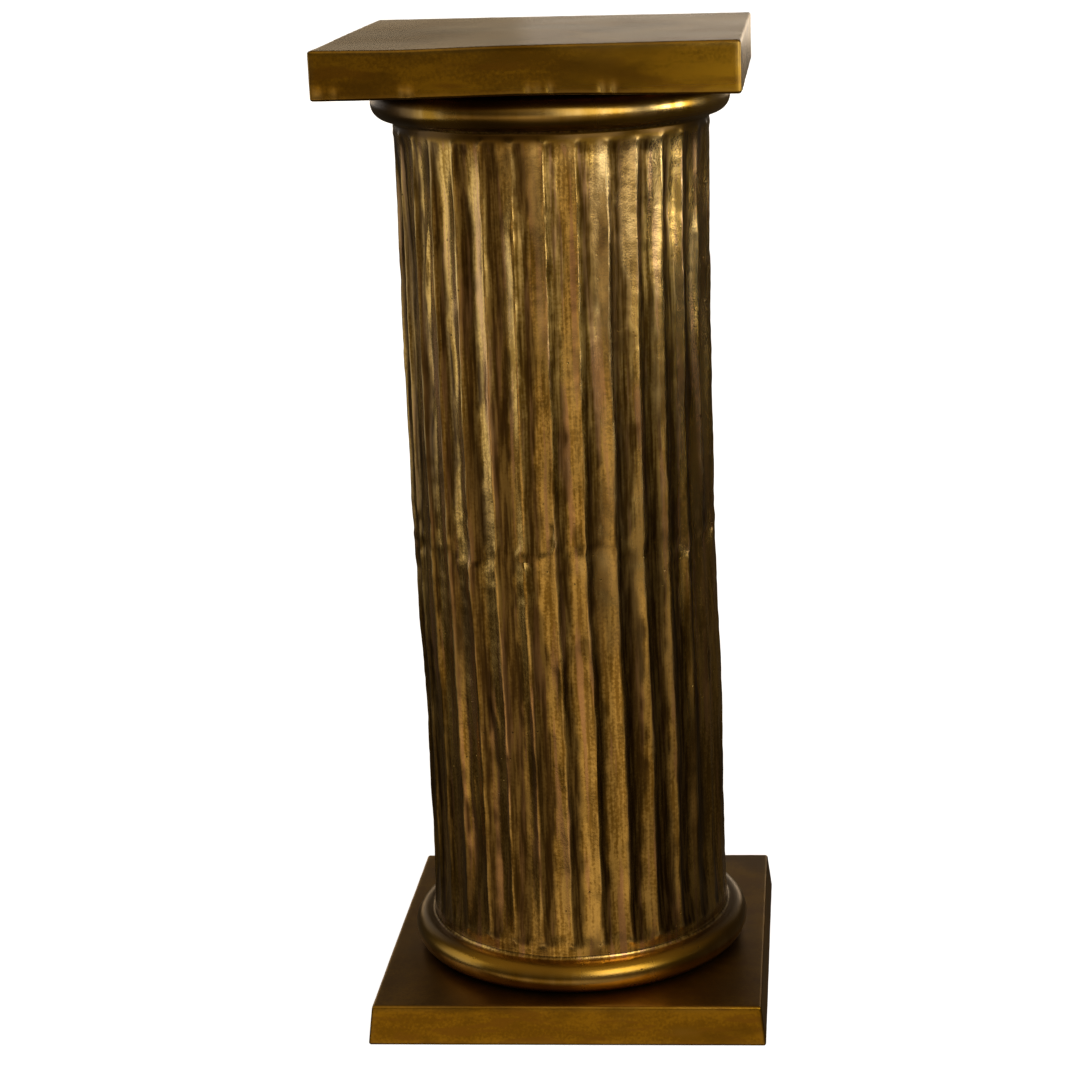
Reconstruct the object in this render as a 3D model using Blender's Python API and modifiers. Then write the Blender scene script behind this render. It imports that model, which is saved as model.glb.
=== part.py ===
# Free-standing pedestal in the form of a Doric column, cast metal with an antique brass finish:
# a square slab on top, two like half shafts with a round ring at their outer end, and a square plinth.
# Metres, +Z up. The origin is the centre of the plinth's underside and the front faces -Y.

import math

import bmesh
import bpy

# Slab on top, which carries what is shown on the pedestal
SLAB_WIDTH = 0.300
SLAB_THICKNESS = 0.037
SLAB_EDGE_ROUND = 0.0025

# Plinth under the lower ring, its sides leaning out towards the floor
PLINTH_WIDTH = 0.2995
PLINTH_THICKNESS = 0.031
PLINTH_LEAN = 0.0036
PLINTH_EDGE_ROUND = 0.0022

# Half shaft, measured from the outer end face of its ring to the joint half way up
HALF_LENGTH = 0.3426
SHAFT_RADIUS = 0.119
RING_PROJECTION = 0.01575
RING_HEIGHT = 0.0245
RING_NOSE_DEPTH = 0.012
COVE_RADIUS = 0.0026

# Flutes: concave grooves with a narrow arris between neighbours
FLUTE_COUNT = 32
FLUTE_DEPTH = 0.005
ARRIS_WIDTH = 0.0016
PLAIN_BAND = 0.0075
FLUTE_END_ROUND = 0.0048

# The halves are set with their flutes slightly out of line
LOWER_TURN = math.radians(1.8)
UPPER_TURN = math.radians(2.4)

# Space left between neighbouring pieces
JOINT_GAP = 0.0003

# Facets
TURNED_STEPS = 64
NOSE_STEPS = 8
COVE_STEPS = 2
CUTTER_SIDES = 26
FLUTE_END_STEPS = 3
EDGE_STEPS = 2
MERGE = 0.00001

# How far a cutter runs past the metal that it cuts
CUTTER_OVERRUN = 0.010

SMOOTH_ANGLE = math.radians(35.0)

SLAB_BRASS = (0.105, 0.066, 0.016, 1.0)
SHAFT_BRASS = (0.33, 0.20, 0.07, 1.0)
PLINTH_BRASS = (0.085, 0.055, 0.014, 1.0)


def clear_scene():
    for obj in list(bpy.data.objects):
        bpy.data.objects.remove(obj, do_unlink=True)


def new_collection(name):
    collection = bpy.data.collections.new(name)
    bpy.context.scene.collection.children.link(collection)
    return collection


def new_object(name, mesh, collection):
    obj = bpy.data.objects.new(name, mesh)
    collection.objects.link(obj)
    return obj


def as_guide(obj):
    obj.hide_render = True
    obj.display_type = "WIRE"


def cast_brass(name, colour, roughness):
    material = bpy.data.materials.new(name)
    material.use_nodes = True
    shader = material.node_tree.nodes["Principled BSDF"]
    shader.inputs["Base Color"].default_value = colour
    shader.inputs["Metallic"].default_value = 1.0
    shader.inputs["Roughness"].default_value = roughness
    return material


def square_plate(name, top_width, bottom_width, thickness, edge_round, collection):
    """A square plate standing on z = 0, its sides leaning from the bottom width to the top width."""
    bm = bmesh.new()
    bmesh.ops.create_cube(bm, size=1.0)
    for vert in bm.verts:
        width = top_width if vert.co.z > 0 else bottom_width
        vert.co.x *= width
        vert.co.y *= width
        vert.co.z = thickness if vert.co.z > 0 else 0.0
    mesh = bpy.data.meshes.new(name)
    bm.to_mesh(mesh)
    bm.free()
    mesh.shade_smooth()
    mesh.set_sharp_from_angle(angle=SMOOTH_ANGLE)
    plate = new_object(name, mesh, collection)
    bevel = plate.modifiers.new("worn edges", "BEVEL")
    bevel.width = edge_round
    bevel.segments = EDGE_STEPS
    bevel.limit_method = "ANGLE"
    return plate


def half_shaft_profile():
    """Radius and height down the turned outside, from the joint at the top to the ring's end face."""
    ring_radius = SHAFT_RADIUS + RING_PROJECTION
    nose_half = RING_HEIGHT / 2
    points = [(0.0, HALF_LENGTH), (SHAFT_RADIUS, HALF_LENGTH)]
    for step in range(COVE_STEPS + 1):
        angle = math.pi / 2 * step / COVE_STEPS
        points.append((
            SHAFT_RADIUS + COVE_RADIUS * (1 - math.cos(angle)),
            RING_HEIGHT + COVE_RADIUS * (1 - math.sin(angle)),
        ))
    for step in range(NOSE_STEPS + 1):
        angle = math.pi * step / NOSE_STEPS
        points.append((
            ring_radius - RING_NOSE_DEPTH * (1 - math.sin(angle)),
            nose_half * (1 + math.cos(angle)),
        ))
    points.append((0.0, 0.0))
    return points


def turned_blank(collection):
    profile = half_shaft_profile()
    bm = bmesh.new()
    verts = [bm.verts.new((radius, 0.0, height)) for radius, height in profile]
    for upper, lower in zip(verts[:-1], verts[1:]):
        bm.edges.new((upper, lower))
    mesh = bpy.data.meshes.new("half shaft pattern")
    bm.to_mesh(mesh)
    bm.free()
    pattern = new_object("half_shaft_pattern", mesh, collection)
    screw = pattern.modifiers.new("turned", "SCREW")
    screw.steps = TURNED_STEPS
    screw.render_steps = TURNED_STEPS
    screw.use_merge_vertices = True
    screw.merge_threshold = MERGE
    as_guide(pattern)
    return pattern


def flute_section():
    """Radius of the round cutter, and how far its axis stands from the shaft's axis."""
    half_angle = math.pi / FLUTE_COUNT - ARRIS_WIDTH / (2 * SHAFT_RADIUS)
    half_chord = SHAFT_RADIUS * math.sin(half_angle)
    floor = SHAFT_RADIUS - FLUTE_DEPTH
    rise = SHAFT_RADIUS * math.cos(half_angle) - floor
    radius = (half_chord ** 2 + rise ** 2) / (2 * rise)
    return radius, floor + radius


def flute_cutter_mesh(radius):
    """A round bar standing on z = 0 with its lower rim rounded, so that the flute runs out in a scoop."""
    start = RING_HEIGHT + COVE_RADIUS + PLAIN_BAND
    length = HALF_LENGTH + CUTTER_OVERRUN - start
    bm = bmesh.new()
    bmesh.ops.create_cone(bm, cap_ends=True, segments=CUTTER_SIDES, radius1=radius, radius2=radius, depth=length)
    bmesh.ops.translate(bm, verts=bm.verts, vec=(0.0, 0.0, start + length / 2))
    rim = [edge for edge in bm.edges if all(vert.co.z < start + MERGE for vert in edge.verts)]
    bmesh.ops.bevel(
        bm, geom=rim, offset=FLUTE_END_ROUND, offset_type="OFFSET", affect="EDGES",
        segments=FLUTE_END_STEPS, profile=0.5, material=-1,
    )
    mesh = bpy.data.meshes.new("flute cutter")
    bm.to_mesh(mesh)
    bm.free()
    return mesh


def cut_flutes(pattern, cutters):
    radius, axis_distance = flute_section()
    cutter_mesh = flute_cutter_mesh(radius)
    pitch = 2 * math.pi / FLUTE_COUNT
    for index in range(FLUTE_COUNT):
        angle = (index + 0.5) * pitch
        cutter = new_object(f"flute_cutter_{index + 1:02d}", cutter_mesh, cutters)
        cutter.location = (axis_distance * math.cos(angle), axis_distance * math.sin(angle), 0.0)
        cutter.rotation_euler = (0.0, 0.0, angle)
        as_guide(cutter)
    flutes = pattern.modifiers.new("flutes", "BOOLEAN")
    flutes.operation = "DIFFERENCE"
    flutes.solver = "EXACT"
    flutes.operand_type = "COLLECTION"
    flutes.collection = cutters


def cast_half(name, pattern, collection, material):
    """One casting taken from the pattern."""
    depsgraph = bpy.context.evaluated_depsgraph_get()
    mesh = bpy.data.meshes.new_from_object(pattern.evaluated_get(depsgraph))
    mesh.name = name
    mesh.shade_smooth()
    mesh.set_sharp_from_angle(angle=SMOOTH_ANGLE)
    mesh.materials.clear()
    mesh.materials.append(material)
    return new_object(name, mesh, collection)


def build():
    clear_scene()
    column = new_collection("doric_column")
    patterns = new_collection("patterns")
    cutters = new_collection("flute cutters")

    pattern = turned_blank(patterns)
    cut_flutes(pattern, cutters)
    bpy.context.view_layer.update()

    plinth = square_plate(
        "plinth", PLINTH_WIDTH, PLINTH_WIDTH + 2 * PLINTH_LEAN, PLINTH_THICKNESS, PLINTH_EDGE_ROUND, column,
    )
    plinth.data.materials.append(cast_brass("dark brass of the plinth", PLINTH_BRASS, 0.38))

    shaft_brass = cast_brass("rubbed brass of the shaft", SHAFT_BRASS, 0.34)
    front = -math.pi / 2
    lower = cast_half("lower_shaft", pattern, column, shaft_brass)
    lower_foot = PLINTH_THICKNESS + JOINT_GAP
    lower.location.z = lower_foot
    lower.rotation_euler.z = front + LOWER_TURN

    upper = cast_half("upper_shaft", pattern, column, shaft_brass)
    upper_head = lower_foot + HALF_LENGTH + JOINT_GAP + HALF_LENGTH
    upper.location.z = upper_head
    upper.rotation_euler = (math.pi, 0.0, front + UPPER_TURN)

    slab = square_plate("top_slab", SLAB_WIDTH, SLAB_WIDTH, SLAB_THICKNESS, SLAB_EDGE_ROUND, column)
    slab.location.z = upper_head + JOINT_GAP
    slab.data.materials.append(cast_brass("dark brass of the slab", SLAB_BRASS, 0.36))


build()
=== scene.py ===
import math

import bmesh
import bpy
from mathutils import Matrix, Vector, noise


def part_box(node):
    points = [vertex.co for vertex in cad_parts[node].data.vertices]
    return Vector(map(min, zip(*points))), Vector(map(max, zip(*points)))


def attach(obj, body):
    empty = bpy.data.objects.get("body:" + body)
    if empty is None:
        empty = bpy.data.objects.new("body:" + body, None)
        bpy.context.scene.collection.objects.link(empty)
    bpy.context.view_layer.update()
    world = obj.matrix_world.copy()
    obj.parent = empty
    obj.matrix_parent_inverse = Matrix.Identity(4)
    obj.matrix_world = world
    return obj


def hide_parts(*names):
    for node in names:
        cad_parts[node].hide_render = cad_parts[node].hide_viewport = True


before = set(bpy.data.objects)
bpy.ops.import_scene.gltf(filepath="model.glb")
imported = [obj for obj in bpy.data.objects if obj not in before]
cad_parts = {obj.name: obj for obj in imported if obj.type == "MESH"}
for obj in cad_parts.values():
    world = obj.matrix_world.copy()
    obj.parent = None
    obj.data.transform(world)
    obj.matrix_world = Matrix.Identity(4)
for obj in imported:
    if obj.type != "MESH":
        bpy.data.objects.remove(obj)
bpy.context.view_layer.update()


# Camera, lights and floor.
# The column is seen from the front, a little from the right and from above the slab. A large soft light
# stands at the front right, weaker ones at both sides and behind, and two long walls far behind it show in
# the slab's top. The rest of the room is nearly dark, and the floor is pale and plain.

CAMERA_PLACE = (0.19266, -1.89009, 0.88491)
CAMERA_YAW = 0.0598
CAMERA_PITCH = -0.271
CAMERA_ROLL = -0.0248
CAMERA_LENS = 83.503
FRAME_SHIFT = -0.12
WARM_WHITE = (1.0, 0.96, 0.90)
COOL_WHITE = (0.97, 0.98, 1.0)
WALL_BEIGE = (1.0, 0.85, 0.66)
WALL_TAN = (1.0, 0.79, 0.52)

camera = bpy.data.objects.new("camera", bpy.data.cameras.new("camera"))
bpy.context.scene.collection.objects.link(camera)
camera.matrix_world = (
    Matrix.Translation(CAMERA_PLACE)
    @ Matrix.Rotation(CAMERA_YAW, 4, "Z")
    @ Matrix.Rotation(math.pi / 2 + CAMERA_PITCH, 4, "X")
    @ Matrix.Rotation(CAMERA_ROLL, 4, "Z")
)
camera.data.sensor_width = 36.0
camera.data.lens = CAMERA_LENS
camera.data.shift_x = FRAME_SHIFT
camera.data.clip_start = 0.05
camera.data.clip_end = 200.0
bpy.context.scene.camera = camera
bpy.context.scene.view_settings.view_transform = "Standard"


def softbox(name, bearing, distance, height, width, tall, power, colour, spread=180):
    """A soft light facing the column's axis. Its bearing is counted from the front towards the right."""
    light = bpy.data.lights.new(name, "AREA")
    light.shape = "RECTANGLE"
    light.size = width
    light.size_y = tall
    light.energy = power
    light.color = colour
    light.spread = math.radians(spread)
    turn = math.radians(bearing)
    away = Vector((math.sin(turn), -math.cos(turn), 0.0))
    box = bpy.data.objects.new(name, light)
    box.location = away * distance + Vector((0.0, 0.0, height))
    box.rotation_euler = away.to_track_quat("Z", "Y").to_euler()
    box.visible_camera = False
    bpy.context.scene.collection.objects.link(box)


softbox(
    "key_light", bearing=33, distance=1.15, height=1.01,
    width=0.9, tall=1.04, power=8.0, colour=WARM_WHITE,
)
softbox(
    "left_light", bearing=-84, distance=1.25, height=0.53,
    width=0.75, tall=0.87, power=1.8, colour=WARM_WHITE,
)
softbox(
    "right_light", bearing=86, distance=1.3, height=0.80,
    width=0.6, tall=0.5, power=0.60, colour=WARM_WHITE, spread=50,
)
softbox(
    "back_right_light", bearing=150, distance=2.2, height=1.1,
    width=1.0, tall=1.2, power=0.4, colour=COOL_WHITE,
)
softbox(
    "back_left_light", bearing=222, distance=2.2, height=1.1,
    width=1.0, tall=1.2, power=1.3, colour=COOL_WHITE,
)
softbox(
    "far_wall_right", bearing=172.2, distance=8.0, height=0.845,
    width=4.1, tall=1.41, power=28, colour=WALL_BEIGE,
)
softbox(
    "far_wall_left", bearing=200.9, distance=8.2, height=0.845,
    width=4.2, tall=1.41, power=20, colour=WALL_TAN,
)

# The metal sees a dark room, lighter low in front, where the floor would show in it, and a little lighter
# high in front. The camera sees white beyond the floor.
ROOM_COLOUR = (1.0, 0.76, 0.46, 1.0)
DARKEST_GLOW = 0.042
WHITE = (1.0, 1.0, 1.0, 1.0)
world = bpy.data.worlds.new("room")
world.use_nodes = True
bpy.context.scene.world = world
room = world.node_tree
direction = room.nodes.new("ShaderNodeTexCoord").outputs["Generated"]
rise = room.nodes.new("ShaderNodeSeparateXYZ")
room.links.new(direction, rise.inputs["Vector"])


def room_range(value, low, high, most=1.0):
    """0 at low and the most at high, and held at those beyond them."""
    node = room.nodes.new("ShaderNodeMapRange")
    node.inputs["From Min"].default_value = low
    node.inputs["From Max"].default_value = high
    node.inputs["To Max"].default_value = most
    room.links.new(value, node.inputs["Value"])
    return node.outputs["Result"]


def room_maths(operation, first, second):
    node = room.nodes.new("ShaderNodeMath")
    node.operation = operation
    room.links.new(first, node.inputs[0])
    room.links.new(second, node.inputs[1])
    return node.outputs["Value"]


def towards(*way):
    """How nearly a direction in the room points one way."""
    node = room.nodes.new("ShaderNodeVectorMath")
    node.operation = "DOT_PRODUCT"
    node.inputs[1].default_value = Vector(way).normalized()
    room.links.new(direction, node.inputs[0])
    return node.outputs["Value"]


floor_left = room_range(towards(-0.5, -0.87, 0.0), 0.70, 0.88, 0.50)
floor_left = room_maths("MULTIPLY", floor_left, room_range(rise.outputs["Z"], -0.46, -0.38))
floor_ahead = room_range(towards(0.25, -1.0, 0.0), 0.50, 0.95, 0.30)
floor_ahead = room_maths("ADD", floor_ahead, floor_left)
floor_ahead = room_maths("MULTIPLY", floor_ahead, room_range(rise.outputs["Z"], -0.02, -0.30))
floor_ahead = room_maths("MULTIPLY", floor_ahead, room_range(rise.outputs["Z"], -0.95, -0.65))
high_ahead = room_range(towards(0.0, -0.30, 0.95), 0.30, 1.0, 0.42)
glow = room.nodes.new("ShaderNodeMath")
glow.operation = "ADD"
glow.inputs[1].default_value = DARKEST_GLOW
room.links.new(room_maths("ADD", floor_ahead, high_ahead), glow.inputs[0])
room.nodes["Background"].inputs["Color"].default_value = ROOM_COLOUR
room.links.new(glow.outputs["Value"], room.nodes["Background"].inputs["Strength"])
white_beyond = room.nodes.new("ShaderNodeBackground")
white_beyond.inputs["Color"].default_value = WHITE
seen_directly = room.nodes.new("ShaderNodeLightPath")
choice = room.nodes.new("ShaderNodeMixShader")
room.links.new(seen_directly.outputs["Is Camera Ray"], choice.inputs["Fac"])
room.links.new(room.nodes["Background"].outputs["Background"], choice.inputs[1])
room.links.new(white_beyond.outputs["Background"], choice.inputs[2])
room.links.new(choice.outputs["Shader"], room.nodes["World Output"].inputs["Surface"])

# The floor glows like paper lit from above, with a painted shadow: it glows a little less near the column
FLOOR_RADIUS = 60.0
FLOOR_GAP = 0.0002
FLOOR_GREY = (0.80, 0.80, 0.79, 1.0)
SHADOW_REACH = (0.2, 1.6)

bm = bmesh.new()
bmesh.ops.create_circle(bm, cap_ends=True, segments=96, radius=FLOOR_RADIUS)
floor_mesh = bpy.data.meshes.new("floor")
bm.to_mesh(floor_mesh)
bm.free()
floor = bpy.data.objects.new("floor", floor_mesh)
floor.location.z = -FLOOR_GAP
floor.visible_glossy = False
bpy.context.scene.collection.objects.link(floor)
floor_finish = bpy.data.materials.new("pale matt floor")
floor_finish.use_nodes = True
floor_shader = floor_finish.node_tree.nodes["Principled BSDF"]
floor_shader.inputs["Base Color"].default_value = FLOOR_GREY
floor_shader.inputs["Roughness"].default_value = 0.9
floor_shader.inputs["Specular IOR Level"].default_value = 0.0
floor_shader.inputs["Emission Color"].default_value = WHITE
from_column = floor_finish.node_tree.nodes.new("ShaderNodeVectorMath")
from_column.operation = "LENGTH"
floor_place = floor_finish.node_tree.nodes.new("ShaderNodeTexCoord")
floor_finish.node_tree.links.new(floor_place.outputs["Object"], from_column.inputs[0])
# Painted shadow: the glow rises from a little less near the column to full further out
less_painted_shade = floor_finish.node_tree.nodes.new("ShaderNodeMapRange")
less_painted_shade.interpolation_type = "SMOOTHSTEP"
less_painted_shade.inputs["From Min"].default_value = SHADOW_REACH[0]
less_painted_shade.inputs["From Max"].default_value = SHADOW_REACH[1]
less_painted_shade.inputs["To Min"].default_value = 0.90
less_painted_shade.inputs["To Max"].default_value = 1.0
floor_finish.node_tree.links.new(from_column.outputs["Value"], less_painted_shade.inputs["Value"])
floor_finish.node_tree.links.new(less_painted_shade.outputs["Result"], floor_shader.inputs["Emission Strength"])
floor_mesh.materials.append(floor_finish)


# Plinth.
# A thick square plate under the lower ring, cast in metal and finished a very dark antique brass. Its sides
# lean out to the floor, its top is nearly flat, and its edges are rounded by sanding and lightly rubbed.

MM = 0.001
EDGE_STEPS = 4
PLATE_GRID = 3 * MM
PLINTH_ROUND = 2.0 * MM
PLINTH_LEAN = 3.6 * MM
PLINTH_RUBBED = 0.2
EDGE_WEAR = 1.2 * MM
SHARP_ANGLE = math.radians(65)
PIT_SPACING = 8 * MM
PIT_DEPTH = 0.2 * MM

# How far from the middle the thickest painted shade on the plinth's top, by the ring, reaches, and over what
# way it thins out
SHADE_START = 134 * MM
SHADE_FADE = 14 * MM


def wobble(place, wavelength, seed):
    """Smooth unevenness between about -1 and 1 that repeats at roughly the wavelength."""
    return noise.noise(place / wavelength + Vector((seed, 7.3 * seed, -3.1 * seed)))


def smooth_step(value, low, high):
    """0 at low, 1 at high, and an even curve between."""
    amount = min(1.0, max(0.0, (value - low) / (high - low)))
    return amount * amount * (3 - 2 * amount)


def bell(distance, width):
    return math.exp(-((distance / width) ** 2))


def grid_stops(half, edge_round, spacing):
    """Grid lines along one side of a plate, closer together where its edges are rounded."""
    flat = half - edge_round
    cells = max(2, math.ceil(2 * flat / spacing))
    middle = [-flat + 2 * flat * cell / cells for cell in range(cells + 1)]
    turn = [
        flat + edge_round * math.tan(math.pi / 4 * step / EDGE_STEPS)
        for step in range(1, EDGE_STEPS + 1)
    ]
    return [-stop for stop in reversed(turn)] + middle + turn


def rounded_plate(half_width, half_thickness, edge_round, spacing):
    """A square plate about the origin with rounded edges, its faces divided into small squares."""
    stops = [
        grid_stops(half_width, edge_round, spacing),
        grid_stops(half_width, edge_round, spacing),
        grid_stops(half_thickness, edge_round, spacing),
    ]
    inner = (half_width - edge_round, half_width - edge_round, half_thickness - edge_round)
    bm = bmesh.new()
    worn = bm.verts.layers.float.new("worn")
    bm.verts.layers.float.new("patina_and_painted_shade")
    bmesh.ops.create_cube(bm, size=2.0)
    for axis in range(3):
        along = [edge for edge in bm.edges if abs(edge.verts[0].co[axis] - edge.verts[1].co[axis]) > 1.0]
        bmesh.ops.subdivide_edges(bm, edges=along, cuts=len(stops[axis]) - 2, use_grid_fill=True)
    for vert in bm.verts:
        place = Vector(
            [stops[axis][round((vert.co[axis] + 1) / 2 * (len(stops[axis]) - 1))] for axis in range(3)]
        )
        core = Vector([min(inner[axis], max(-inner[axis], place[axis])) for axis in range(3)])
        vert.co = core + (place - core).normalized() * edge_round
        gaps = sorted(max(0.0, inner[axis] - abs(place[axis])) for axis in range(3))
        vert[worn] = math.exp(-gaps[1] / EDGE_WEAR)
    return bm


def on_flat_face(distance, half_thickness):
    """1 on the flat face at that distance from the plate's middle, and 0 on its sides."""
    return smooth_step(distance, half_thickness - 1.2 * MM, half_thickness - 0.1 * MM)


def facing(place, half_width, half_thickness):
    """How squarely a point of a plate faces along x, y and z."""
    outward = Vector((place.x / half_width, place.y / half_width, place.z / half_thickness))
    return Vector([side ** 9 for side in outward])


def piece_from(bm, name, material):
    """Turns the finished mesh into a piece of the column that stands for the solid of the same name."""
    bmesh.ops.recalc_face_normals(bm, faces=bm.faces)
    mesh = bpy.data.meshes.new(name)
    bm.to_mesh(mesh)
    bm.free()
    mesh.shade_smooth()
    mesh.set_sharp_from_angle(angle=SHARP_ANGLE)
    mesh.materials.append(material)
    piece = bpy.data.objects.new(name + "_cast", mesh)
    bpy.context.scene.collection.objects.link(piece)
    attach(piece, "root")
    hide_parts(name)


def antique_brass(name, tones, roughness, streaks, mottle, contrast, grain_height, pitting, lacquer):
    """Cast brass, darkened, rubbed back and lacquered: brown in the low places, gold where it was rubbed,
    darker with painted shade and brighter with painted highlights where the mesh carries them.

    Streaks and mottle each give a size and how far the pattern is drawn out along x, y and z."""
    streak_size, streak_draw = streaks
    mottle_size, mottle_draw = mottle
    material = bpy.data.materials.new(name)
    material.use_nodes = True
    tree = material.node_tree
    shader = tree.nodes["Principled BSDF"]
    shader.inputs["Metallic"].default_value = 1.0
    shader.inputs["Coat Weight"].default_value = lacquer
    shader.inputs["Coat Roughness"].default_value = 0.22
    place = tree.nodes.new("ShaderNodeTexCoord").outputs["Object"]

    def connect(source, socket):
        if isinstance(source, (int, float)):
            socket.default_value = source
        elif isinstance(source, tuple):
            socket.default_value = (*source, 1.0)
        else:
            tree.links.new(source, socket)

    def maths(operation, first, second=0.0):
        node = tree.nodes.new("ShaderNodeMath")
        node.operation = operation
        connect(first, node.inputs[0])
        connect(second, node.inputs[1])
        return node.outputs["Value"]

    def ramp(value, low, high, start=0.0, end=1.0):
        node = tree.nodes.new("ShaderNodeMapRange")
        node.interpolation_type = "SMOOTHSTEP"
        connect(value, node.inputs["Value"])
        node.inputs["From Min"].default_value = low
        node.inputs["From Max"].default_value = high
        node.inputs["To Min"].default_value = start
        node.inputs["To Max"].default_value = end
        return node.outputs["Result"]

    def blend(amount, first, second):
        node = tree.nodes.new("ShaderNodeMix")
        node.data_type = "RGBA"
        connect(amount, node.inputs[0])
        connect(first, node.inputs[6])
        connect(second, node.inputs[7])
        return node.outputs[2]

    def clouds(size, detail, drawn_out=(1.0, 1.0, 1.0), shift=(0.0, 0.0, 0.0)):
        mapping = tree.nodes.new("ShaderNodeMapping")
        mapping.inputs["Location"].default_value = shift
        mapping.inputs["Scale"].default_value = [1.0 / length for length in drawn_out]
        tree.links.new(place, mapping.inputs["Vector"])
        node = tree.nodes.new("ShaderNodeTexNoise")
        node.inputs["Scale"].default_value = 1.0 / size
        node.inputs["Detail"].default_value = detail
        tree.links.new(mapping.outputs["Vector"], node.inputs["Vector"])
        return node.outputs["Fac"]

    def attribute(label):
        node = tree.nodes.new("ShaderNodeAttribute")
        node.attribute_name = label
        return node.outputs["Fac"]

    def stained(base, places, low, high, most, stain):
        """Lets a stain show where its places are strong, on the filed metal only."""
        amount = maths("MULTIPLY", ramp(places, low, high, 0.0, most), filed)
        return blend(amount, base, tones[stain])

    patina_and_painted_shade = attribute("patina_and_painted_shade")
    worn = attribute("worn")
    turned = attribute("turned")
    filed = maths("SUBTRACT", 1.0, turned)
    patches = clouds(size=110 * MM, detail=3.0)
    fine_streaks = clouds(streak_size, 5.0, streak_draw, shift=(0.4, 0.1, 0.7))
    smears = clouds(mottle_size, 6.0, mottle_draw, shift=(2.1, 0.3, 1.2))
    copper_places = clouds(6 * MM, 4.0, streak_draw, shift=(5.0, 1.0, 3.0))
    grey_places = clouds(40 * MM, 5.0, mottle_draw, shift=(1.0, 7.0, 2.0))
    soot_places = clouds(34 * MM, 5.0, mottle_draw, shift=(8.0, 3.0, 6.0))
    grain = clouds(size=1.1 * MM, detail=2.0)
    sand = clouds(size=2.2 * MM, detail=3.0, shift=(3.0, 2.0, 1.0))

    # Gold on brown where it was rubbed, then the stains, the patina and painted shade, and the bare metal
    # and painted highlights
    drawn = maths("ADD", maths("MULTIPLY", fine_streaks, 0.65), maths("MULTIPLY", smears, 0.35))
    drawn = maths("SUBTRACT", drawn, 0.5)
    drawn = maths("MULTIPLY", drawn, maths("ADD", maths("MULTIPLY", filed, 0.85), 0.15))
    speckle = maths("MULTIPLY", maths("MULTIPLY", maths("SUBTRACT", sand, 0.5), filed), contrast * 3.4)
    tone = maths("ADD", maths("ADD", drawn, speckle), maths("ADD", maths("MULTIPLY", patches, 0.4), 0.3))
    rubbed_and_lit = ramp(tone, 0.5 - contrast, 0.5 + contrast)
    colour = blend(rubbed_and_lit, tones["brown"], tones["gold"])
    colour = blend(turned, colour, tones["turned"])
    colour = stained(colour, copper_places, low=0.52, high=0.64, most=0.8, stain="copper")
    colour = stained(colour, grey_places, low=0.54, high=0.70, most=0.7, stain="grey")
    colour = stained(colour, soot_places, low=0.52, high=0.66, most=0.75, stain="soot")
    let_through = maths("MULTIPLY", filed, ramp(fine_streaks, 0.30, 0.70, 0.0, 0.34))
    shade = maths("MULTIPLY", patina_and_painted_shade, maths("SUBTRACT", 1.0, let_through))
    colour = blend(shade, colour, tones["deep"])
    colour = blend(maths("MULTIPLY", worn, ramp(smears, 0.30, 0.60, 0.0, 0.75)), colour, tones["bright"])

    # Small casting pits, only in some patches
    cells = tree.nodes.new("ShaderNodeTexVoronoi")
    cells.inputs["Scale"].default_value = 1.0 / PIT_SPACING
    cells.inputs["Randomness"].default_value = 1.0
    tree.links.new(place, cells.inputs["Vector"])
    pit = ramp(cells.outputs["Distance"], 0.05, 0.11, start=pitting, end=0.0)
    pit = maths("MULTIPLY", pit, ramp(patches, 0.52, 0.60))
    colour = blend(maths("MULTIPLY", pit, 0.7), colour, tones["deep"])
    tree.links.new(colour, shader.inputs["Base Color"])

    finish = maths("SUBTRACT", fine_streaks, 0.5)
    finish = maths("MULTIPLY", finish, maths("MULTIPLY", filed, 0.6 * contrast))
    finish = maths("ADD", finish, roughness)
    finish = maths("ADD", finish, maths("MULTIPLY", patina_and_painted_shade, 0.08))
    finish = maths("ADD", finish, maths("MULTIPLY", pit, 0.2))
    tree.links.new(finish, shader.inputs["Roughness"])

    # Relief too fine for the mesh: grain all over, coarser sand in the grey places, and the pits
    coarse = maths("MULTIPLY", ramp(grey_places, 0.34, 0.58, start=0.15), filed)
    height = maths("MULTIPLY", grain, grain_height)
    height = maths("ADD", height, maths("MULTIPLY", maths("MULTIPLY", sand, coarse), 3.2 * grain_height))
    height = maths("SUBTRACT", height, maths("MULTIPLY", pit, PIT_DEPTH))
    bump = tree.nodes.new("ShaderNodeBump")
    bump.inputs["Strength"].default_value = 1.0
    bump.inputs["Distance"].default_value = 1.0
    tree.links.new(height, bump.inputs["Height"])
    tree.links.new(bump.outputs["Normal"], shader.inputs["Normal"])
    return material


plinth_low, plinth_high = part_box("plinth")
plinth_brass = antique_brass(
    "dark rubbed brass of the plinth",
    tones={
        "gold": (0.44, 0.235, 0.012),
        "brown": (0.27, 0.14, 0.007),
        "copper": (0.30, 0.145, 0.012),
        "grey": (0.31, 0.18, 0.025),
        "soot": (0.20, 0.105, 0.007),
        "deep": (0.16, 0.085, 0.018),
        "bright": (0.55, 0.36, 0.10),
        "turned": (0.30, 0.155, 0.007),
    },
    roughness=0.30, streaks=(9 * MM, (5, 5, 1)), mottle=(30 * MM, (2, 2, 1)), contrast=0.15,
    grain_height=0.006 * MM, pitting=0.0, lacquer=0.05,
)
half_thickness = (plinth_high.z - plinth_low.z) / 2
half_width = plinth_high.x - PLINTH_LEAN
bm = rounded_plate(half_width, half_thickness, PLINTH_ROUND, PLATE_GRID)
worn_layer = bm.verts.layers.float["worn"]
dark_layer = bm.verts.layers.float["patina_and_painted_shade"]
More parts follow.
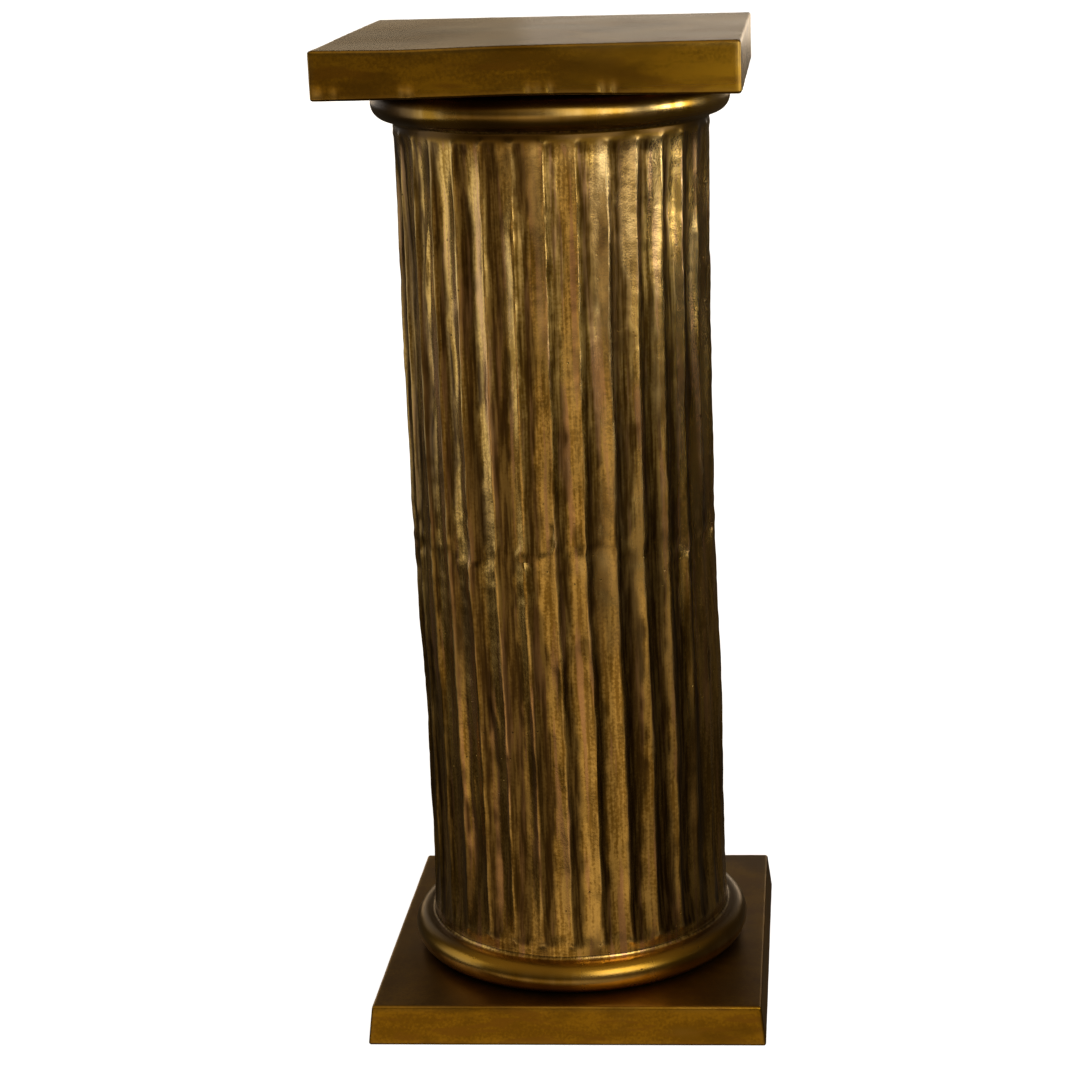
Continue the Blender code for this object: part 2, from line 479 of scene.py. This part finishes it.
for vert in bm.verts:
    up = (vert.co.z + half_thickness) / (2 * half_thickness)
    # Painted shade: the plinth's top is darkened all over, and most near the ring, as if in its shadow
    from_ring = max(0.0, math.hypot(vert.co.x, vert.co.y) - SHADE_START)
    painted_shade = 0.60 + 0.40 * math.exp(-from_ring / SHADE_FADE)
    vert[dark_layer] = on_flat_face(vert.co.z, half_thickness) * painted_shade
    vert[worn_layer] *= PLINTH_RUBBED
    spread = 1 + PLINTH_LEAN / half_width * (1 - up)
    edge = vert[worn_layer] * 4
    uneven = 0.16 * MM * wobble(vert.co, 90 * MM, 2.0) + 0.12 * MM * edge * wobble(vert.co, 14 * MM, 5.0)
    outward = facing(vert.co, half_width, half_thickness)
    vert.co.x = vert.co.x * spread + uneven * outward.x
    vert.co.y = vert.co.y * spread + uneven * outward.y
    vert.co.z = vert.co.z + half_thickness + uneven * outward.z * up
piece_from(bm, "plinth", plinth_brass)


# Lower and upper shaft.
# Two like castings set end to end, each a fluted half shaft with a round ring at its outer end. They were
# cast in sand, filed along the flutes by hand and darkened. The arrises wander, and the flutes of the two
# don't quite meet at the joint.

HALF_LENGTH = 342.6 * MM
SHAFT_RADIUS = 119 * MM
RING_PROJECTION = 15.75 * MM
RING_HEIGHT = 24.5 * MM
RING_NOSE_DEPTH = 12 * MM
COVE_RADIUS = 2.6 * MM
PLAIN_BAND = 7.5 * MM
FLUTE_COUNT = 32
FLUTE_DEPTH = 5 * MM
ARRIS_WIDTH = 1.6 * MM
FLUTE_START = RING_HEIGHT + COVE_RADIUS + PLAIN_BAND
LOWER_TURN = math.radians(1.8)
UPPER_TURN = math.radians(2.4)
PITCH = 2 * math.pi / FLUTE_COUNT
PITCH_LENGTH = PITCH * SHAFT_RADIUS

# Each half's turn about the shaft, the random order of its marks, and whether it stands upside down
LOWER_HALF = (LOWER_TURN, 11.0, False)
UPPER_HALF = (UPPER_TURN, 23.0, True)

# The round cutter that a flute's section is part of
HALF_FLUTE = PITCH / 2 - ARRIS_WIDTH / (2 * SHAFT_RADIUS)
HALF_CHORD = SHAFT_RADIUS * math.sin(HALF_FLUTE)
FLUTE_FLOOR = SHAFT_RADIUS - FLUTE_DEPTH
FLUTE_RISE = SHAFT_RADIUS * math.cos(HALF_FLUTE) - FLUTE_FLOOR
CUTTER_RADIUS = (HALF_CHORD ** 2 + FLUTE_RISE ** 2) / (2 * FLUTE_RISE)
CUTTER_AXIS = FLUTE_FLOOR + CUTTER_RADIUS

# Places across one flute: its middle and both walls, after the middle of the arris before it
ACROSS = (0.0, 0.04, 0.11, 0.20, 0.30, 0.40, 0.5, 0.60, 0.70, 0.80, 0.89, 0.96, 1.0)
COLUMNS = len(ACROSS) + 1

# Rows of the mesh: their spacing along the flutes, and closer together over the flutes' last stretch
FLUTE_ROW = 2.0 * MM
FLUTE_END_ROW = 1.2 * MM
FLUTE_END_LENGTH = 10 * MM
COVE_STEPS = 4
NOSE_STEPS = 24
TOUCH = 0.01 * MM

# Handwork: how far the arrises wander over a long and a short way, half their width, what is filed off them
# at least and at a knot, how softly they are rounded, and how high a rib stands in a flute. A skew under 1
# pushes the deepest line of a flute to the left.
LONG_WANDER = 0.8 * MM
SHORT_WANDER = 0.5 * MM
HALF_ARRIS = 0.45 * MM
LEAST_HALF_ARRIS = 0.12 * MM
LEAST_LOSS = 0.12 * MM
KNOT_LOSS = 0.8 * MM
EASING = 3.0 * MM
LEAST_EASING = 0.5 * MM
RIB_HEIGHT = 2.2 * MM
FLUTE_SKEW = 0.86

# Heights between which the shaft bows to the left and comes back, and how far it does
BOW_HEIGHTS = (0.20, 0.42)
RETURN_HEIGHTS = (0.48, 0.72)
FOOT_OFFSET = 0.2 * MM
BOW = 3.3 * MM
RETURN = 1.4 * MM

# Heights between which the patina and the painted shade and highlights change: above the foot, up the right
# side, and towards the head, where the painted highlights grow; and the middle of the darker stretch above
# the joint
ABOVE_FOOT = (0.30, 0.45)
UP_THE_RIGHT = (0.54, 0.63)
TOWARDS_HEAD = (0.42, 0.62)
ABOVE_JOINT = 0.49

# The joint: how far each half reaches into the gap, how far the line between the two filings wanders, half
# the height over which one runs into the other, and how far from it the surface grows more uneven
JOINT_CLOSING = 0.13 * MM
JOINT_WANDER = 20 * MM
JOINT_BLEND = 5 * MM
NEAR_JOINT = 60 * MM

# Marks by the joint: bearing in degrees, height, half width, half height, and depth, less than 0 for a lump
JOINT_MARKS = (
    (1.4, 396 * MM, 2.0 * MM, 7 * MM, 1.8 * MM),
    (10.9, 395 * MM, 1.8 * MM, 9 * MM, 1.7 * MM),
    (-9.1, 377 * MM, 3.2 * MM, 4.5 * MM, 1.7 * MM),
    (6.0, 383 * MM, 3.5 * MM, 5.0 * MM, 0.9 * MM),
    (11.0, 372 * MM, 4.5 * MM, 8.0 * MM, -0.7 * MM),
    (19.5, 403 * MM, 1.6 * MM, 5 * MM, 1.4 * MM),
    (20.5, 373 * MM, 4.5 * MM, 9.0 * MM, -0.5 * MM),
    (37.0, 374 * MM, 2.4 * MM, 8 * MM, 0.9 * MM),
    (49.0, 378 * MM, 3.5 * MM, 7 * MM, 1.0 * MM),
    (-30.0, 366 * MM, 3.0 * MM, 3.0 * MM, 0.6 * MM),
    (11.0, 308 * MM, 4.0 * MM, 8 * MM, 1.1 * MM),
)

# A mark is too faint to count beyond this many squares of its half size
MARK_END = 6

lower_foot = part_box("lower_shaft")[0].z
lower_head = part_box("lower_shaft")[1].z
upper_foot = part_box("upper_shaft")[0].z
upper_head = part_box("upper_shaft")[1].z


def even_steps(start, end, spacing):
    """Heights from start towards end, the end left out."""
    count = max(1, round(abs(end - start) / spacing))
    return [start + (end - start) * step / count for step in range(count)]


def casting_profile():
    """Radius and height of each row down one half, from the joint to the ring's end face."""
    fluted_end = FLUTE_START + FLUTE_END_LENGTH
    plain_end = RING_HEIGHT + COVE_RADIUS
    rows = [(0.0, HALF_LENGTH)]
    rows += [(SHAFT_RADIUS, height) for height in even_steps(HALF_LENGTH, fluted_end, FLUTE_ROW)]
    rows += [(SHAFT_RADIUS, height) for height in even_steps(fluted_end, plain_end, FLUTE_END_ROW)]
    for step in range(COVE_STEPS + 1):
        turn = math.pi / 2 * step / COVE_STEPS
        rows.append((
            SHAFT_RADIUS + COVE_RADIUS * (1 - math.cos(turn)),
            RING_HEIGHT + COVE_RADIUS * (1 - math.sin(turn)),
        ))
    for step in range(NOSE_STEPS + 1):
        turn = math.pi * step / NOSE_STEPS
        rows.append((
            SHAFT_RADIUS + RING_PROJECTION - RING_NOSE_DEPTH * (1 - math.sin(turn)),
            RING_HEIGHT / 2 * (1 + math.cos(turn)),
        ))
    rows.append((0.0, 0.0))
    return rows


def flute_cut(across):
    """How deep a flute is cut at a place across it, 0 and 1 at its arrises."""
    swing = (2 * across - 1) * HALF_FLUTE
    side = CUTTER_AXIS * math.sin(swing)
    return SHAFT_RADIUS - (CUTTER_AXIS * math.cos(swing) - math.sqrt(CUTTER_RADIUS ** 2 - side ** 2))


def soft_least(first, second, softness):
    """The smaller of two lengths, with the corner between them eased."""
    amount = min(1.0, max(0.0, 0.5 + 0.5 * (second - first) / softness))
    return second * (1 - amount) + first * amount - softness * amount * (1 - amount)


def shaft_bow(height):
    """How far the shaft stands to the right of the plinth's middle at a height, less than 0 for the left."""
    lean = FOOT_OFFSET - BOW * smooth_step(height, *BOW_HEIGHTS)
    return lean + RETURN * smooth_step(height, *RETURN_HEIGHTS)


def joint_line(bearing):
    """Height of the uneven line where one half's filing runs into the other's."""
    place = Vector((4.5 * math.cos(bearing), 4.5 * math.sin(bearing), 4.0))
    return lower_head + 1 * MM + JOINT_WANDER * noise.noise(place)


def angle_aside(bearing):
    """A bearing brought to between half a turn left and half a turn right of the front."""
    return (bearing + math.pi) % (2 * math.pi) - math.pi


def shaft_point(bearing, height):
    """A point at the shaft's full radius."""
    return Vector((SHAFT_RADIUS * math.sin(bearing), -SHAFT_RADIUS * math.cos(bearing), height))


def length_noise(which, seed, height, wavelength):
    """Unevenness between about -1 and 1 along the shaft, with its own pattern for each arris or flute."""
    return noise.noise(Vector((which, seed, height / wavelength)))


def arris_run(arris, height, seed, near_joint):
    """How far an arris strays sideways, half its width, what is filed off it and how rounded it is."""
    long_way = length_noise(3.7 * arris, seed, height, 62 * MM)
    short_way = length_noise(5.1 * arris, seed + 4.0, height, 17 * MM)
    breadth = length_noise(6.3 * arris, seed + 5.0, height, 26 * MM)
    knots = max(0.0, length_noise(3.3 * arris, seed + 2.0, height, 11 * MM))
    dips = max(0.0, length_noise(2.9 * arris, seed + 6.0, height, 48 * MM))
    softness = length_noise(8.7 * arris, seed + 1.0, height, 44 * MM)
    stray = LONG_WANDER * (1 + 1.3 * near_joint) * long_way
    stray += SHORT_WANDER * (1 + 1.2 * near_joint) * short_way
    half_width = max(LEAST_HALF_ARRIS, HALF_ARRIS * (1 + 2.0 * breadth))
    loss = LEAST_LOSS + KNOT_LOSS * knots + (0.8 + 1.0 * near_joint) * MM * dips
    return stray, half_width, loss, max(LEAST_EASING, EASING * (1 + 1.2 * softness))


def ring_surface(bearing, along, point, seed, upside_down):
    """Depth at a point of the ring or its cove, how darkened it is by patina and painted shade, and its
    bright tone from wear and painted highlights.
    """
    aside = angle_aside(bearing)
    if upside_down:
        # Upper ring: patina, with painted shade to the left and far left and a painted highlight left of the
        # front
        far_left = smooth_step(-math.sin(bearing), 0.60, 0.80)
        dark = 0.3 + 0.8 * wobble(point, 60 * MM, seed + 4.0) - 0.8 * math.sin(bearing)
        dark += 0.6 * far_left - 0.55 * bell(aside + 0.52, 0.20)
        dark = min(0.8 + 0.17 * far_left, max(0.0, dark))
    else:
        # Lower ring: painted shade everywhere but at two bearings, which are left lit as painted highlights
        rubbed_and_lit = max(bell(aside - 0.30, 0.25), 0.7 * bell(aside + 0.55, 0.30))
        dark = 0.55 * (1 - rubbed_and_lit)
    # Painted shade in the cove at both sides
    in_cove = smooth_step(along, 0.72 * RING_HEIGHT, 0.98 * RING_HEIGHT)
    dark = max(dark, 0.85 * in_cove * smooth_step(abs(math.sin(bearing)), 0.45, 0.80))
    # Rubbing on the nose, which is also a painted highlight, less where the ring is darkened
    nose = bell(along - 0.5 * RING_HEIGHT, 5 * MM)
    nose *= 0.5 + 0.5 * wobble(point, 50 * MM, seed + 5.0)
    nose *= 1 - dark
    depth = 0.10 * MM * wobble(point, 45 * MM, seed + 3.0)
    return depth, dark, max(0.0, nose)


def flute_depth(flute, across, height, scoop, loss, eased, seed):
    """How far in from the full radius a flute or arris was filed. Scoop is 0 beyond the flute's end."""
    deeper = 0.9 + 0.30 * length_noise(flute * 4.1, seed, height, 60 * MM)
    cut = flute_cut(across ** FLUTE_SKEW) * scoop * deeper
    rib_place = 0.45 + 0.5 * length_noise(flute * 1.9, seed + 7.0, height, 90 * MM)
    rib = max(0.0, length_noise(flute * 5.9, seed + 8.0, height, 70 * MM))
    cut -= RIB_HEIGHT * rib * bell(across - rib_place, 0.11) * scoop
    surface = soft_least(SHAFT_RADIUS - loss, SHAFT_RADIUS - cut, eased * (0.3 + 0.7 * scoop))
    return SHAFT_RADIUS - surface


def shade_reach(flute, height, aside, seed):
    """How far across a flute, from its left wall, it is darkened by patina and by painted shade that changes
    with the bearing and the height.
    """
    near_foot = 1 - smooth_step(height, *ABOVE_FOOT)
    # Painted shade: more of it left of the front and above the joint, less low on the left and low at the
    # front right, more on the right below mid height
    reach = 0.40 + 0.01 * near_foot + 0.26 * bell(aside + 0.33, 0.25)
    reach += 0.06 * bell(height - ABOVE_JOINT, 0.07)
    less_painted_shade = (0.08 + 0.22 * near_foot) * bell(aside + 0.75, 0.30)
    less_painted_shade += 0.15 * near_foot * bell(aside - 0.30, 0.15)
    reach -= less_painted_shade
    reach += 0.42 * bell(aside - 0.72, 0.32) * (1 - smooth_step(height, *UP_THE_RIGHT))
    reach += 0.24 * length_noise(7.7 * flute, seed, height, 80 * MM)
    reach += 0.14 * length_noise(4.7 * flute, seed + 9.0, height, 14 * MM)
    return reach


def flute_patina_and_painted_light(flute, across, height, bearing, shown, knot, seed):
    """How darkened a place across a flute is, by patina and painted shade, and its bright tone from wear and
    painted highlights. Shown is 0 beyond the flute's end.
    """
    aside = angle_aside(bearing)
    at_arris = max(0.0, 1 - flute_cut(across) / (0.9 * MM))
    reach = shade_reach(flute, height, aside, seed)
    shaded = smooth_step(across, 0.0, 0.07) * (1 - smooth_step(across, reach - 0.10, reach + 0.10))
    uneven = 0.45 + 1.3 * length_noise(9.1 * flute, seed + 3.0, height, 38 * MM)
    bare_and_lit = max(0.8 * knot, 0.75 * at_arris * shown * min(1.0, max(0.0, uneven)))
    # Polish along the flutes, which is also a painted highlight: strongest high up and away from the left
    # side
    polish_and_painted_highlight = length_noise(6.1 * flute, seed + 12.0, height, 90 * MM)
    polish_and_painted_highlight = smooth_step(polish_and_painted_highlight, -0.30, 0.12) * bell(across - 0.80, 0.17)
    high_up = 0.2 + 0.8 * smooth_step(height, *TOWARDS_HEAD)
    polish_and_painted_highlight *= high_up * (0.4 + 0.6 * smooth_step(aside, -0.40, -0.05))
    bare_and_lit = max(bare_and_lit, 0.9 * shown * polish_and_painted_highlight)
    # Arrises are dulled at random, and by painted shade on the left side
    dull_and_painted_shade = max(0.0, 0.8 - 1.8 * uneven) + 0.5 * smooth_step(-aside, 0.2, 0.9)
    return max(shaded * shown, at_arris * shown * min(0.85, dull_and_painted_shade)), bare_and_lit


def worked_place(flute, step, along, height, turn, seed, upside_down, on_ring):
    """Bearing and depth of a point of the worked surface, how darkened it is by patina and painted shade,
    and its bright tone from wear and painted highlights.
    """
    near_joint = smooth_step(along, HALF_LENGTH - NEAR_JOINT, HALF_LENGTH)
    left_stray, left_half, left_loss, left_eased = arris_run(flute, height, seed, near_joint)
    next_arris = (flute + 1) % FLUTE_COUNT
    right_stray, right_half, right_loss, right_eased = arris_run(next_arris, height, seed, near_joint)
    across = ACROSS[step - 1] if step else 0.0
    start = left_stray + left_half
    sideways = start + (PITCH_LENGTH + right_stray - right_half - start) * across if step else left_stray
    fluted = smooth_step(along, FLUTE_START - 7 * MM, FLUTE_START)
    even = PITCH_LENGTH * step / COLUMNS
    bearing = turn + flute * PITCH + (even + (sideways - even) * fluted) / SHAFT_RADIUS
    point = shaft_point(bearing, height)
    if on_ring:
        return bearing, *ring_surface(bearing, along, point, seed, upside_down)

    # Each flute begins at its own height and deepens slowly
    begin = FLUTE_START - (5 if upside_down else 3) * MM
    begin += 3.0 * MM * noise.noise(Vector((flute * 2.3, seed, 0.5)))
    shown = smooth_step(along, begin, begin + 5 * MM)
    scoop = 0.35 * smooth_step(along, begin, begin + 14 * MM)
    scoop += 0.65 * smooth_step(along, begin, begin + 60 * MM)
    loss = (left_loss + (right_loss - left_loss) * across) * scoop
    eased = left_eased + (right_eased - left_eased) * across
    depth = flute_depth(flute, across, height, scoop, loss, eased, seed)

    # The cast skin is uneven, more so by the joint, and a small knot is left where each arris begins
    rough = 0.4 + 0.6 * scoop
    depth += rough * 0.16 * MM * wobble(point, 7 * MM, seed + 1.0)
    depth += rough * 0.36 * MM * wobble(point, 30 * MM, seed + 2.0)
    depth += near_joint * 0.55 * MM * wobble(point, 12 * MM, seed + 6.0)
    knot = bell(along - begin - 4 * MM, 2.2 * MM) * bell(min(across, 1 - across), 0.09)
    depth -= 0.5 * MM * knot
    dark, bare_and_lit = flute_patina_and_painted_light(flute, across, height, bearing, shown, knot, seed)
    return bearing, depth, dark, bare_and_lit


def joined_place(flute, step, along, height, on_ring):
    """The same with the filing of the half that the point belongs to, or of both where they run together."""
    line_height = joint_line((flute + step / COLUMNS) * PITCH)
    share = smooth_step(height, line_height - JOINT_BLEND, line_height + JOINT_BLEND)
    if share <= 0:
        return worked_place(flute, step, along, height, *LOWER_HALF, on_ring)
    if share >= 1:
        return worked_place(flute, step, along, height, *UPPER_HALF, on_ring)
    marks = zip(
        worked_place(flute, step, along, height, *LOWER_HALF, on_ring),
        worked_place(flute, step, along, height, *UPPER_HALF, on_ring),
    )
    bearing, depth, dark, bare_and_lit = [low + (high - low) * share for low, high in marks]
    point = shaft_point(bearing, height)
    seam = 4 * share * (1 - share)
    depth += 0.5 * MM * seam * wobble(point, 11 * MM, 31.0)
    dark = min(1.0, dark + 0.3 * seam * max(0.0, wobble(point, 14 * MM, 35.0)))
    return bearing, depth, dark, bare_and_lit


def with_joint_marks(bearing, height, depth, dark, bare_and_lit):
    """Depth, darkness and bright tone with the marks by the joint: dents are dark and lumps are rubbed back
    to the metal.
    """
    for mark_bearing, mark_height, wide, tall, deep in JOINT_MARKS:
        aside = angle_aside(bearing - math.radians(mark_bearing))
        gap = (aside * SHAFT_RADIUS / wide) ** 2 + ((height - mark_height) / tall) ** 2
        if gap < MARK_END:
            depth += deep * math.exp(-gap)
            if deep > 0:
                dark = max(dark, 0.7 * math.exp(-gap))
            else:
                bare_and_lit = max(bare_and_lit, 0.7 * math.exp(-gap))
    return depth, dark, bare_and_lit


def turn_blank(bm):
    """Adds a half shaft to the mesh as a smooth turned surface, its ring's end face at z = 0."""
    line = [bm.verts.new((0.0, -radius, height)) for radius, height in casting_profile()]
    edges = [bm.edges.new(pair) for pair in zip(line[:-1], line[1:])]
    bmesh.ops.spin(bm, geom=line + edges, cent=(0, 0, 0), axis=(0, 0, 1), angle=PITCH, steps=COLUMNS)
    for doubling in range(round(math.log2(FLUTE_COUNT))):
        again = bmesh.ops.duplicate(bm, geom=bm.verts[:] + bm.edges[:] + bm.faces[:])
        more = [part for part in again["geom"] if isinstance(part, bmesh.types.BMVert)]
        round_by = Matrix.Rotation(PITCH * 2 ** doubling, 3, "Z")
        bmesh.ops.rotate(bm, cent=(0, 0, 0), matrix=round_by, verts=more)
    bmesh.ops.remove_doubles(bm, verts=bm.verts, dist=TOUCH)


def shaft_casting(foot, head):
    """One half shaft between two heights, its ring at the foot. The upper half's foot is the higher."""
    bm = bmesh.new()
    patina_and_painted_shade = bm.verts.layers.float.new("patina_and_painted_shade")
    worn = bm.verts.layers.float.new("worn")
    turned = bm.verts.layers.float.new("turned")
    turn_blank(bm)
    upward = 1.0 if head > foot else -1.0
    for vert in bm.verts:
        radius = math.hypot(vert.co.x, vert.co.y)
        along = vert.co.z
        if radius > SHAFT_RADIUS - TOUCH and along > HALF_LENGTH - TOUCH:
            along += JOINT_CLOSING
        height = foot + upward * along
        if radius < 1 * MM:
            vert.co.z = height
            continue
        column = round(math.atan2(vert.co.x, -vert.co.y) / (2 * math.pi) * FLUTE_COUNT * COLUMNS)
        flute, step = divmod(column % (FLUTE_COUNT * COLUMNS), COLUMNS)
        on_ring = radius > SHAFT_RADIUS + TOUCH
        bearing, depth, dark, bare_and_lit = joined_place(flute, step, along, height, on_ring)

        # Painted shade darkens the plain band under the upper ring
        painted_shade = 0.0
        if upward < 0 and not on_ring:
            painted_shade = smooth_step(along, FLUTE_START + 5 * MM, FLUTE_START - 5 * MM)
        on_turned = smooth_step(radius, SHAFT_RADIUS + 0.5 * MM, SHAFT_RADIUS + COVE_RADIUS + 1 * MM)
        vert[turned] = max(on_turned, painted_shade)
        dark = max(dark, 0.95 * painted_shade)
        bare_and_lit *= 1 - painted_shade
        depth, vert[patina_and_painted_shade], vert[worn] = with_joint_marks(bearing, height, depth, dark, bare_and_lit)
        radius -= depth
        x = radius * math.sin(bearing) + shaft_bow(height)
        vert.co = Vector((x, -radius * math.cos(bearing), height))
    return bm


shaft_brass = antique_brass(
    "rubbed brass of the shaft",
    tones={
        "gold": (0.76, 0.50, 0.14),
        "brown": (0.31, 0.175, 0.022),
        "copper": (0.62, 0.35, 0.17),
        "grey": (0.48, 0.34, 0.16),
        "soot": (0.22, 0.13, 0.04),
        "deep": (0.062, 0.029, 0.001),
        "bright": (0.84, 0.62, 0.27),
        "turned": (0.42, 0.23, 0.014),
    },
    roughness=0.25, streaks=(2.6 * MM, (1, 1, 18)), mottle=(14 * MM, (1, 1, 5)), contrast=0.12,
    grain_height=0.034 * MM, pitting=1.0, lacquer=0.22,
)
bm = shaft_casting(lower_foot, lower_head)
piece_from(bm, "lower_shaft", shaft_brass)
bm = shaft_casting(upper_head, upper_foot)
piece_from(bm, "upper_shaft", shaft_brass)


# Top slab.
# The thick square plate that things are shown on, cast like the plinth and set a little to the left. Its
# front edges aren't straight, its corners are soft, and nicks along the lower edge show the bare metal.

SLAB_ROUND = 2.2 * MM
SLAB_GRID = 2.6 * MM
SLAB_OFFSET = Vector((-4.2 * MM, -0.5 * MM, 0.0))

# The front edges: the top one rises to the right by so much in so far and dips left of the middle, and the
# lower one is raised all along and arched in the middle
TOP_RISE = 0.45 * MM
TOP_RISE_RUN = 0.063
TOP_DIP = 1.1 * MM
LOWER_ARCH = 1.6 * MM
LOWER_RAISED = 1.2 * MM
FRONT_START = 118 * MM

# Painted shade beside the upright corners, and where the front face with its nicks begins
CORNER_SHADE = 3 * MM
FRONT_FACE = -147 * MM
NICK_DEPTH = 0.9 * MM

# Nicks along the lower front edge: place to the right of the middle, and half width
SLAB_NICKS = (
    (-149 * MM, 4 * MM), (-137 * MM, 2 * MM), (-89 * MM, 2 * MM), (-84 * MM, 2 * MM), (-1 * MM, 1.5 * MM),
    (5 * MM, 1.5 * MM), (14 * MM, 2 * MM), (50 * MM, 2 * MM), (58 * MM, 2 * MM),
)

slab_low, slab_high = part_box("top_slab")
slab_brass = antique_brass(
    "dark rubbed brass of the slab",
    tones={
        "gold": (0.36, 0.195, 0.008),
        "brown": (0.21, 0.108, 0.004),
        "copper": (0.24, 0.115, 0.007),
        "grey": (0.26, 0.15, 0.014),
        "soot": (0.16, 0.082, 0.004),
        "deep": (0.11, 0.055, 0.005),
        "bright": (0.66, 0.48, 0.17),
        "turned": (0.26, 0.135, 0.005),
    },
    roughness=0.25, streaks=(8 * MM, (9, 9, 2)), mottle=(26 * MM, (3, 3, 1)), contrast=0.13,
    grain_height=0.005 * MM, pitting=0.0, lacquer=0.12,
)
half_width = slab_high.x
half_thickness = (slab_high.z - slab_low.z) / 2
middle = Vector((0.0, 0.0, (slab_high.z + slab_low.z) / 2))
bm = rounded_plate(half_width, half_thickness, SLAB_ROUND, SLAB_GRID)
worn_layer = bm.verts.layers.float["worn"]
dark_layer = bm.verts.layers.float["patina_and_painted_shade"]
for vert in bm.verts:
    up = (vert.co.z + half_thickness) / (2 * half_thickness)
    # Painted shade darkens the slab's underside
    vert[dark_layer] = 0.9 * on_flat_face(-vert.co.z, half_thickness)
    edge = vert[worn_layer]
    x = vert.co.x + SLAB_OFFSET.x
    # Edge wear, stronger along the top edges, where it also stands as a painted highlight
    vert[worn_layer] = edge * (0.2 if up > 0.5 else 0.1)
    # Painted shade along the upright corners tones down their highlight
    corner = bell(half_width - abs(vert.co.x), CORNER_SHADE)
    corner *= bell(half_width - abs(vert.co.y), CORNER_SHADE)
    vert[dark_layer] = max(vert[dark_layer], 0.7 * corner)
    if vert.co.y < FRONT_FACE and up < 0.35:
        nick = max(bell(x - place, wide) for place, wide in SLAB_NICKS) * bell(up - 0.1, 0.12)
        vert.co.y += NICK_DEPTH * nick
        vert[worn_layer] = max(vert[worn_layer], 0.6 * nick)
        # The front face is darker towards its lower edge, but not at the nicks
        darker_towards_bottom = 0.5 * smooth_step(0.3 - up, 0.0, 0.3)
        vert[dark_layer] = max(vert[dark_layer], darker_towards_bottom) * (1 - nick)
    front = smooth_step(-vert.co.y, FRONT_START, half_width)
    top_sag = TOP_RISE * x / TOP_RISE_RUN - TOP_DIP * bell(x + 0.09, 0.045)
    bottom_arch = LOWER_ARCH * bell(x - 0.005, 0.075) + LOWER_RAISED
    uneven = 0.16 * MM * wobble(vert.co, 80 * MM, 9.0) + 0.14 * MM * edge * wobble(vert.co, 13 * MM, 6.0)
    vert.co += uneven * facing(vert.co, half_width, half_thickness)
    vert.co.z += up * top_sag * smooth_step(-vert.co.y, -half_width, half_width) * 0.9
    vert.co.z += (1 - up) * bottom_arch * front
    vert.co += middle + SLAB_OFFSET
piece_from(bm, "top_slab", slab_brass)
